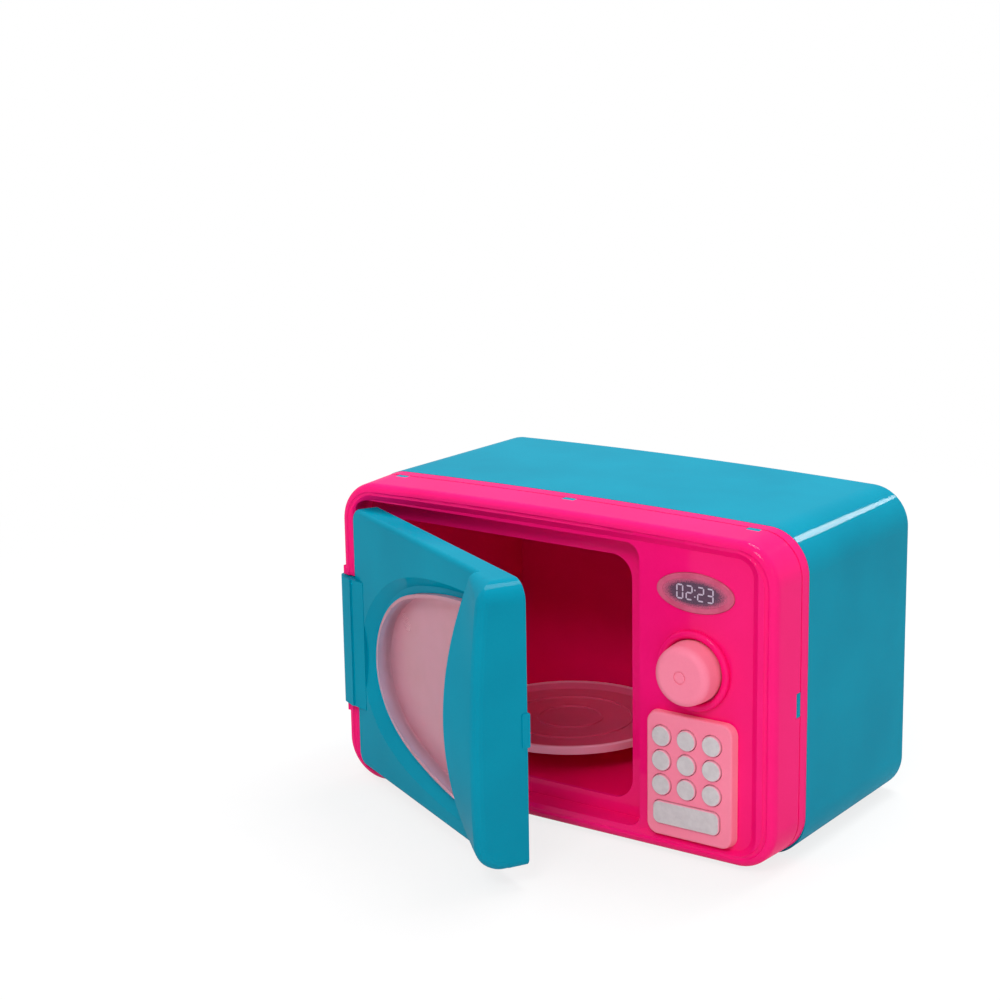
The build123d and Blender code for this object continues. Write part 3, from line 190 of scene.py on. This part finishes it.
def summed(tree, *pairs):
    """Sum of sockets, each times its weight."""
    total = None
    for socket, weight in pairs:
        scaled = add(tree, "ShaderNodeMath", operation="MULTIPLY")
        tree.links.new(socket, scaled.inputs[0])
        scaled.inputs[1].default_value = weight
        if total is None:
            total = scaled.outputs[0]
            continue
        plus = add(tree, "ShaderNodeMath", operation="ADD")
        tree.links.new(total, plus.inputs[0])
        tree.links.new(scaled.outputs[0], plus.inputs[1])
        total = plus.outputs[0]
    return total


def bumped(tree, bsdf, height, depth):
    """Relief on the shader from a height socket that runs over about 0 to 1."""
    bump = add(tree, "ShaderNodeBump", Strength=1.0, Distance=depth)
    tree.links.new(height, bump.inputs["Height"])
    tree.links.new(bump.outputs["Normal"], bsdf.inputs["Normal"])


def place(tree):
    """The point on the surface, in metres from the part's origin."""
    return add(tree, "ShaderNodeTexCoord").outputs["Object"]


# ---- materials --------------------------------------------------------------------------
def moulded(name, light, dark, rough=0.3, level=0.0, gloss=0.12, peel=0.002,
            flow=FLOW_SCALE, dust=0.0, edge=None):
    """Injection-moulded plastic: slow colour drift as the wall thickens, a fine orange peel,
    long sink waves and patches of slightly duller skin under a polished outer skin.

    level is the shine of the body under that skin and gloss the share of the skin. peel is the
    depth of the relief in millimetres, flow the scale of the drift and dust the share of pale
    specks. edge is the colour where a cap that faces forward rounds off.
    """
    material, tree, bsdf = new_material(name)
    where = place(tree)
    drift = spread(tree, noise(tree, where, flow, 3.0), 0.35, 0.68, 0.0, 1.0)
    fleck = spread(tree, noise(tree, where, FLECK_SCALE, 1.0), NOISE_LOW, NOISE_HIGH, 0.0, 1.0)
    base = mixed(tree, summed(tree, (drift, 1.0 - FLECK_SHARE), (fleck, FLECK_SHARE)), light, dark)
    if dust:
        specks = spread(tree, noise(tree, where, DUST_SCALE, 4.0, 0.7), DUST_FROM, DUST_TO, 0.0, dust)
        base = mixed(tree, specks, base, DUST_COLOUR)
    if edge is not None:
        turn = add(tree, "ShaderNodeSeparateXYZ")
        tree.links.new(add(tree, "ShaderNodeTexCoord").outputs["Normal"], turn.inputs[0])
        base = mixed(tree, spread(tree, turn.outputs["Y"], EDGE_FROM, EDGE_TO, 0.0, 1.0), base, edge)
    tree.links.new(base, bsdf.inputs["Base Color"])
    skin = noise(tree, where, PATCH_SCALE, 4.0, 0.6)
    patches = spread(tree, skin, NOISE_LOW, NOISE_HIGH, rough - PATCH_SHINIER, rough + PATCH_DULLER)
    tree.links.new(patches, bsdf.inputs["Roughness"])
    bsdf.inputs["Specular IOR Level"].default_value = level
    bsdf.inputs["Coat Weight"].default_value = gloss
    bsdf.inputs["Coat Roughness"].default_value = COAT_ROUGH
    fine = noise(tree, where, PEEL_SCALE, 0.0)
    wave = noise(tree, where, SINK_SCALE, 0.0)
    bumped(tree, bsdf, summed(tree, (fine, PEEL_SHARE), (wave, SINK_SHARE)), peel * MM)
    return material


def clear_plastic(name, tint, haze, haze_share, rough, highlight_rim_of=None):
    """Cloudy clear plastic: light passes through it, and the share haze_share of it meets
    milk. tint and haze are each two colours. Along the rim of the round node given last, a painted
    highlight makes the plastic paler and cloudier, standing in for the light that the rim gathers."""
    material, tree, bsdf = new_material(name)
    where = place(tree)
    cloud = spread(tree, noise(tree, where, CLOUD_SCALE, 3.0), NOISE_LOW, NOISE_HIGH, 0.0, 1.0)
    tree.links.new(mixed(tree, cloud, tint[0], tint[1]), bsdf.inputs["Base Color"])
    scratch = noise(tree, where, SCRATCH_SCALE, 3.0, 0.6, SCRATCH_STRETCH)
    scratched = spread(tree, scratch, 0.3, 0.75, rough, rough + SCRATCH_ROUGH)
    tree.links.new(scratched, bsdf.inputs["Roughness"])
    bsdf.inputs["Transmission Weight"].default_value = 1.0
    bsdf.inputs["IOR"].default_value = CLEAR_IOR
    bsdf.inputs["Specular IOR Level"].default_value = 0.5
    bumped(tree, bsdf, noise(tree, where, SAG_SCALE, 0.0), SAG_DEPTH)
    milk = add(tree, "ShaderNodeBsdfPrincipled")
    milk.inputs["Roughness"].default_value = MILK_ROUGH
    colour = mixed(tree, cloud, haze[0], haze[1])
    share = spread(tree, cloud, 0.0, 1.0, haze_share - CLOUD_SWING, haze_share + CLOUD_SWING)
    # painted highlight: the plate's rim is painted paler and cloudier, standing in for the light its edge
    # gathers
    if highlight_rim_of is not None:
        low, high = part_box(highlight_rim_of)
        radius = (high.x - low.x) / 2
        away = add(tree, "ShaderNodeVectorMath", operation="DISTANCE")
        tree.links.new(where, away.inputs[0])
        away.inputs[1].default_value = ((low.x + high.x) / 2, (low.y + high.y) / 2, high.z)
        rim = spread(tree, away.outputs["Value"], radius - PLATE_RIM_HIGHLIGHT_WIDTH, radius - 0.5 * PLATE_RIM_HIGHLIGHT_WIDTH, 0.0, 1.0)
        colour = mixed(tree, rim, colour, PLATE_RIM_HIGHLIGHT_COLOUR)
        share = summed(tree, (share, 1.0), (rim, PLATE_RIM_HIGHLIGHT_MILK))
    tree.links.new(colour, milk.inputs["Base Color"])
    mix = add(tree, "ShaderNodeMixShader")
    tree.links.new(share, mix.inputs["Fac"])
    tree.links.new(bsdf.outputs["BSDF"], mix.inputs[1])
    tree.links.new(milk.outputs["BSDF"], mix.inputs[2])
    out = tree.nodes["Material Output"]
    tree.links.new(mix.outputs["Shader"], out.inputs["Surface"])
    return material


def printed(name, ink, second, rough=0.45):
    """Printed film: ink with a fine dot screen in it."""
    material, tree, bsdf = new_material(name)
    where = place(tree)
    dots = add(tree, "ShaderNodeTexVoronoi", Scale=DOT_SCALE)
    tree.links.new(where, dots.inputs["Vector"])
    share = spread(tree, dots.outputs["Distance"], DOT_FROM, DOT_TO, 0.0, 1.0)
    tree.links.new(mixed(tree, share, ink, second), bsdf.inputs["Base Color"])
    wear = noise(tree, where, WEAR_SCALE)
    worn = spread(tree, wear, NOISE_LOW, NOISE_HIGH, rough - WEAR_SWING, rough + WEAR_SWING)
    tree.links.new(worn, bsdf.inputs["Roughness"])
    bumped(tree, bsdf, dots.outputs["Distance"], PRINT_DEPTH)
    return material


def display_print(name):
    """Dark smoked print that breaks up into pink grains towards the rim of the oval."""
    material, tree, bsdf = new_material(name)
    where = place(tree)
    low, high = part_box("display_label")
    middle, half = (low + high) / 2, (high - low) / 2
    mapping = add(tree, "ShaderNodeMapping", vector_type="TEXTURE", Location=middle)
    mapping.inputs["Scale"].default_value = (half.x, 1.0, half.z)
    tree.links.new(where, mapping.inputs["Vector"])
    flat = add(tree, "ShaderNodeVectorMath", operation="MULTIPLY")
    tree.links.new(mapping.outputs["Vector"], flat.inputs[0])
    flat.inputs[1].default_value = (1.0, 0.0, 1.0)
    out = add(tree, "ShaderNodeVectorMath", operation="LENGTH")
    tree.links.new(flat.outputs["Vector"], out.inputs[0])
    grain = noise(tree, where, LABEL_SCALE, 2.0, 0.7)
    reach = summed(tree, (out.outputs["Value"], 1.0), (grain, LABEL_GRAIN))
    share = spread(tree, reach, LABEL_FADE_FROM, LABEL_FADE_TO, 0.0, 1.0)
    ink = mixed(tree, grain, linear(58, 36, 54), linear(112, 84, 106))
    tree.links.new(mixed(tree, share, ink, linear(205, 92, 126)), bsdf.inputs["Base Color"])
    tree.links.new(spread(tree, grain, NOISE_LOW, NOISE_HIGH, 0.3, 0.5), bsdf.inputs["Roughness"])
    bsdf.inputs["Specular IOR Level"].default_value = 0.2
    bumped(tree, bsdf, grain, PRINT_DEPTH)
    return material


def metal(name, light, dark, rough, stretch):
    """Plated or bare metal with drawn lines along the axis where stretch is small."""
    material, tree, bsdf = new_material(name)
    where = place(tree)
    lines = noise(tree, where, DRAWN_SCALE, 3.0, 0.6, stretch)
    blotch = noise(tree, where, BLOTCH_SCALE, 2.0)
    tone = summed(tree, (lines, DRAWN_SHARE), (blotch, BLOTCH_SHARE))
    share = spread(tree, tone, 0.35, 0.65, 0.0, 1.0)
    tree.links.new(mixed(tree, share, light, dark), bsdf.inputs["Base Color"])
    drawn = spread(tree, lines, NOISE_LOW, NOISE_HIGH, rough - DRAWN_SHINIER, rough + DRAWN_DULLER)
    tree.links.new(drawn, bsdf.inputs["Roughness"])
    bsdf.inputs["Metallic"].default_value = 1.0
    bumped(tree, bsdf, lines, DRAWN_DEPTH)
    return material


def battery_jacket(name):
    """Cell sleeve: dark body with a copper-coloured band at the positive end."""
    material, tree, bsdf = new_material(name)
    where = place(tree)
    split = add(tree, "ShaderNodeSeparateXYZ")
    tree.links.new(where, split.inputs[0])
    low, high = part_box("battery_cells")
    band = low.y + (high.y - low.y) * COPPER_SHARE
    edge = spread(tree, split.outputs["Y"], band - COPPER_BLUR, band + COPPER_BLUR, 1.0, 0.0)
    grain = noise(tree, where, JACKET_SCALE)
    dark = mixed(tree, grain, linear(30, 32, 38), linear(44, 46, 54))
    copper = mixed(tree, grain, linear(190, 120, 60), linear(210, 140, 80))
    tree.links.new(mixed(tree, edge, dark, copper), bsdf.inputs["Base Color"])
    tree.links.new(spread(tree, grain, NOISE_LOW, NOISE_HIGH, 0.25, 0.4), bsdf.inputs["Roughness"])
    bsdf.inputs["Metallic"].default_value = JACKET_METAL
    bumped(tree, bsdf, grain, JACKET_DEPTH)
    return material


def board_mask(name):
    """Green solder mask over copper tracks."""
    material, tree, bsdf = new_material(name)
    where = place(tree)
    bricks = add(tree, "ShaderNodeTexBrick", Scale=TRACK_SCALE)
    tree.links.new(where, bricks.inputs["Vector"])
    grain = noise(tree, where, MASK_SCALE)
    mask = mixed(tree, grain, linear(20, 92, 48), linear(28, 110, 60))
    track = spread(tree, bricks.outputs["Fac"], 0.4, 0.6, 0.0, 0.6)
    tree.links.new(mixed(tree, track, mask, linear(70, 140, 84)), bsdf.inputs["Base Color"])
    tree.links.new(spread(tree, grain, NOISE_LOW, NOISE_HIGH, 0.25, 0.45), bsdf.inputs["Roughness"])
    bumped(tree, bsdf, bricks.outputs["Fac"], TRACK_DEPTH)
    return material


TEAL = moulded("teal_plastic", linear(0, 143, 170), linear(0, 134, 161))
PINK = moulded("pink_plastic", linear(248, 22, 120), linear(240, 14, 111), gloss=0.22)
LINER_PINK = moulded("liner_plastic", linear(246, 6, 96), linear(236, 4, 88), gloss=0.1)
PALE_PINK = moulded("pale_pink_plastic", linear(250, 140, 166), linear(244, 130, 158), rough=0.4)
KEY_GREY = moulded(
    "key_plastic",
    linear(206, 200, 202),
    linear(194, 187, 190),
    rough=0.4,
    level=0.2,
    flow=300.0,
    dust=0.5,
    edge=linear(232, 158, 178),
)
RIM_PINK = moulded("display_rim_plastic", linear(208, 94, 128), linear(192, 76, 110), flow=140.0, gloss=0.3)
PLATE_PINK = clear_plastic(
    "plate_plastic",
    (linear(252, 130, 172), linear(248, 118, 162)),
    (linear(252, 112, 158), linear(246, 98, 146)),
    haze_share=0.58,
    rough=0.14,
    highlight_rim_of="turntable_plate",
)
PANE_CLEAR = clear_plastic(
    "pane_plastic",
    (linear(248, 232, 238), linear(242, 222, 232)),
    (linear(238, 186, 202), linear(228, 172, 192)),
    haze_share=0.36,
    rough=0.1,
)
LABEL_DARK = display_print("display_print")
DIGIT_PALE = printed("digit_print", linear(212, 196, 212), linear(186, 168, 190))
RUBBER = moulded("key_rubber", linear(150, 150, 154), linear(132, 132, 138), rough=0.7, level=0.3, gloss=0.0)
BOARD_GREEN = board_mask("board_mask")
RESIN = moulded("chip_resin", linear(18, 18, 20), linear(28, 28, 30), rough=0.22, peel=0.06)
SPEAKER_STEEL = metal("speaker_steel", linear(176, 178, 182), linear(150, 152, 158), 0.35, (1.0, 1.0, 0.1))
SPEAKER_PAPER = moulded("speaker_paper", linear(34, 34, 36), linear(24, 24, 26), rough=0.8, peel=0.05)
SCREW_STEEL = metal("screw_steel", linear(196, 198, 204), linear(160, 162, 170), 0.3, (1.0, 0.1, 1.0))
CONTACT_STEEL = metal("contact_steel", linear(206, 206, 204), linear(172, 172, 172), 0.28, (0.1, 1.0, 1.0))
CELL_JACKET = battery_jacket("cell_jacket")
LEAD_RED = moulded("lead_red", linear(186, 24, 26), linear(160, 14, 18), rough=0.45)
LEAD_BLACK = moulded("lead_black", linear(30, 30, 32), linear(18, 18, 20), rough=0.45)

FINISHES = {
    "case_shell": TEAL,
    "door_shell": TEAL,
    "battery_cover": TEAL,
    "fascia": PINK,
    "cavity_liner": LINER_PINK,
    "turntable_plate": PLATE_PINK,
    "window_pane": PANE_CLEAR,
    "knob": PALE_PINK,
    "keypad_plate": PALE_PINK,
    "key_bar": KEY_GREY,
    "display_plate": RIM_PINK,
    "display_label": LABEL_DARK,
    "key_mat": RUBBER,
    "circuit_board": BOARD_GREEN,
    "sound_chip": RESIN,
    "speaker_frame": SPEAKER_STEEL,
    "speaker_cone": SPEAKER_PAPER,
    "speaker_screws": SCREW_STEEL,
    "board_screws": SCREW_STEEL,
    "knob_screw": SCREW_STEEL,
    "knob_washer": SCREW_STEEL,
    "battery_cover_screw": SCREW_STEEL,
    "battery_cells": CELL_JACKET,
    "battery_contacts": CONTACT_STEEL,
    "battery_leads": LEAD_RED,
    "speaker_leads": LEAD_BLACK,
}
for number in range(1, 10):
    FINISHES["key_" + str(number)] = KEY_GREY

for node_name, finish in FINISHES.items():
    slots = NODES[node_name].data.materials
    slots.clear()
    slots.append(finish)


# ---- pieces -----------------------------------------------------------------------------
def mesh_piece(name, mesh, material, body):
    """Puts the mesh in the scene as a piece that rides on body."""
    mesh.materials.append(material)
    piece = bpy.data.objects.new(name, mesh)
    bpy.context.scene.collection.objects.link(piece)
    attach(piece, body)


def slab_of(build, outline, y_front, thick):
    """Adds a thin slab to the bmesh: outline in x and z, front face at y_front."""
    front = [build.verts.new((x, y_front, z)) for x, z in outline]
    back = [build.verts.new((x, y_front + thick, z)) for x, z in outline]
    build.faces.new(front)
    build.faces.new(back[::-1])
    count = len(outline)
    for i in range(count):
        j = (i + 1) % count
        build.faces.new((front[j], front[i], back[i], back[j]))


def stroke(start, end):
    """Pointed bar between two places, as in a seven-segment digit."""
    half = DIGIT_STROKE / 2
    (x0, z0), (x1, z1) = start, end
    length = math.hypot(x1 - x0, z1 - z0)
    ux, uz = (x1 - x0) / length, (z1 - z0) / length
    sx, sz = -uz * half, ux * half
    x0, z0 = x0 + ux * DIGIT_GAP, z0 + uz * DIGIT_GAP
    x1, z1 = x1 - ux * DIGIT_GAP, z1 - uz * DIGIT_GAP
    return [
        (x0, z0),
        (x0 + ux * half - sx, z0 + uz * half - sz),
        (x1 - ux * half - sx, z1 - uz * half - sz),
        (x1, z1),
        (x1 - ux * half + sx, z1 - uz * half + sz),
        (x0 + ux * half + sx, z0 + uz * half + sz),
    ]


def display_digits():
    """The time on the display, as raised seven-segment digits on the oval label."""
    low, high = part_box("display_label")
    y_front = low.y - DIGIT_THICK
    middle = (low + high) / 2
    width = 3 * DIGIT_PITCH + COLON_ROOM + DIGIT_W
    x = middle.x - width / 2
    z_low = middle.z - DIGIT_H / 2
    half = DIGIT_STROKE / 2
    build = bmesh.new()
    for letter in DISPLAY_TEXT:
        if letter == ":":
            dot_x = x - (DIGIT_PITCH - DIGIT_W) / 2 + COLON_ROOM / 2
            for z in (middle.z - COLON_RISE, middle.z + COLON_RISE):
                left, right, low_z, high_z = dot_x - half, dot_x + half, z - half, z + half
                dot = [(left, low_z), (right, low_z), (right, high_z), (left, high_z)]
                slab_of(build, dot, y_front, DIGIT_THICK)
            x += COLON_ROOM
            continue
        left, right = x + half, x + DIGIT_W - half
        low_z, mid_z, high_z = z_low + half, middle.z, z_low + DIGIT_H - half
        bars = {
            "a": ((left, high_z), (right, high_z)),
            "b": ((right, high_z), (right, mid_z)),
            "c": ((right, mid_z), (right, low_z)),
            "d": ((left, low_z), (right, low_z)),
            "e": ((left, mid_z), (left, low_z)),
            "f": ((left, high_z), (left, mid_z)),
            "g": ((left, mid_z), (right, mid_z)),
        }
        for bar in SEGMENTS[letter]:
            slab_of(build, stroke(*bars[bar]), y_front, DIGIT_THICK)
        x += DIGIT_PITCH
    bmesh.ops.recalc_face_normals(build, faces=build.faces)
    mesh = bpy.data.meshes.new("display_digits")
    build.to_mesh(mesh)
    build.free()
    mesh_piece("display_digits", mesh, DIGIT_PALE, "oven")


display_digits()


# ---- surroundings -----------------------------------------------------------------------
def seen_directly(tree):
    """1 on rays from the camera, and on those that glossy and clear surfaces send out."""
    path = add(tree, "ShaderNodeLightPath")
    first = add(tree, "ShaderNodeMath", operation="MAXIMUM")
    tree.links.new(path.outputs["Is Camera Ray"], first.inputs[0])
    tree.links.new(path.outputs["Is Glossy Ray"], first.inputs[1])
    both = add(tree, "ShaderNodeMath", operation="MAXIMUM")
    tree.links.new(first.outputs[0], both.inputs[0])
    tree.links.new(path.outputs["Is Transmission Ray"], both.inputs[1])
    return both.outputs[0]


def floor():
    """White paper that keeps the object's shadow and runs out to plain white around it."""
    build = bmesh.new()
    bmesh.ops.create_circle(build, cap_ends=True, radius=FLOOR_RADIUS, segments=FLOOR_SIDES)
    mesh = bpy.data.meshes.new("floor")
    build.to_mesh(mesh)
    build.free()
    material, tree, bsdf = new_material("floor_white")
    where = place(tree)
    paper = mixed(tree, noise(tree, where, PAPER_SCALE), PAPER_DARK, PAPER_LIGHT)
    tree.links.new(paper, bsdf.inputs["Base Color"])
    bsdf.inputs["Roughness"].default_value = PAPER_ROUGH
    bsdf.inputs["Specular IOR Level"].default_value = 0.0
    glow = add(tree, "ShaderNodeEmission", Color=WHITE, Strength=1.0)
    away = add(tree, "ShaderNodeVectorMath", operation="LENGTH")
    tree.links.new(where, away.inputs[0])
    fade = spread(tree, away.outputs["Value"], FLOOR_NEAR, FLOOR_FAR, FLOOR_GLOW, 1.0)
    share = add(tree, "ShaderNodeMath", operation="MULTIPLY")
    tree.links.new(fade, share.inputs[0])
    tree.links.new(seen_directly(tree), share.inputs[1])
    mix = add(tree, "ShaderNodeMixShader")
    tree.links.new(share.outputs[0], mix.inputs["Fac"])
    tree.links.new(bsdf.outputs["BSDF"], mix.inputs[1])
    tree.links.new(glow.outputs["Emission"], mix.inputs[2])
    tree.links.new(mix.outputs["Shader"], tree.nodes["Material Output"].inputs["Surface"])
    mesh.materials.append(material)
    plane = bpy.data.objects.new("floor", mesh)
    plane.location = (0.0, 0.0, -FLOOR_DROP)
    bpy.context.scene.collection.objects.link(plane)


def surroundings():
    """Soft light that comes mostly from above, behind a backdrop that is seen as white."""
    world = bpy.data.worlds.new("studio")
    bpy.context.scene.world = world
    world.use_nodes = True
    tree = world.node_tree
    backdrop = tree.nodes["Background"]
    split = add(tree, "ShaderNodeSeparateXYZ")
    tree.links.new(add(tree, "ShaderNodeTexCoord").outputs["Generated"], split.inputs[0])
    light = spread(tree, split.outputs["Z"], 0.0, ZENITH_FROM, HORIZON_LIGHT, ZENITH_LIGHT)
    strength = add(tree, "ShaderNodeMath", operation="MAXIMUM")
    tree.links.new(light, strength.inputs[0])
    tree.links.new(seen_directly(tree), strength.inputs[1])
    tree.links.new(strength.outputs[0], backdrop.inputs["Strength"])
    backdrop.inputs["Color"].default_value = WHITE


def lamp(name, at, towards, size, watts):
    """Round area lamp at one place, turned towards another."""
    data = bpy.data.lights.new(name, "AREA")
    data.shape = "DISK"
    data.size = size
    data.energy = watts
    light = bpy.data.objects.new(name, data)
    light.location = at
    light.rotation_mode = "QUATERNION"
    light.rotation_quaternion = (Vector(towards) - Vector(at)).to_track_quat("-Z", "Y")
    bpy.context.scene.collection.objects.link(light)


def camera():
    """Camera at the photograph's place, from its yaw, pitch and roll in degrees."""
    yaw, pitch, roll = (math.radians(a) for a in (CAMERA_YAW, CAMERA_PITCH, CAMERA_ROLL))
    back = Vector((math.sin(yaw) * math.cos(pitch), -math.cos(yaw) * math.cos(pitch), math.sin(pitch)))
    right = Vector((0, 0, 1)).cross(back).normalized()
    up = back.cross(right)
    tilted_right = math.cos(roll) * right + math.sin(roll) * up
    tilted_up = math.cos(roll) * up - math.sin(roll) * right
    data = bpy.data.cameras.new("camera")
    data.sensor_width = SENSOR_MM
    data.lens = LENS_MM
    data.clip_start, data.clip_end = CLIP_NEAR, CLIP_FAR
    view = bpy.data.objects.new("camera", data)
    turn = Matrix((tilted_right, tilted_up, back)).transposed().to_4x4()
    view.matrix_world = Matrix.Translation(CAMERA_AT) @ turn
    bpy.context.scene.collection.objects.link(view)
    bpy.context.scene.camera = view


floor()
surroundings()
for lamp_name, (at, towards, size, watts) in LAMPS.items():
    lamp(lamp_name, at, towards, size, watts)
camera()
bpy.context.scene.view_settings.view_transform = "Standard"
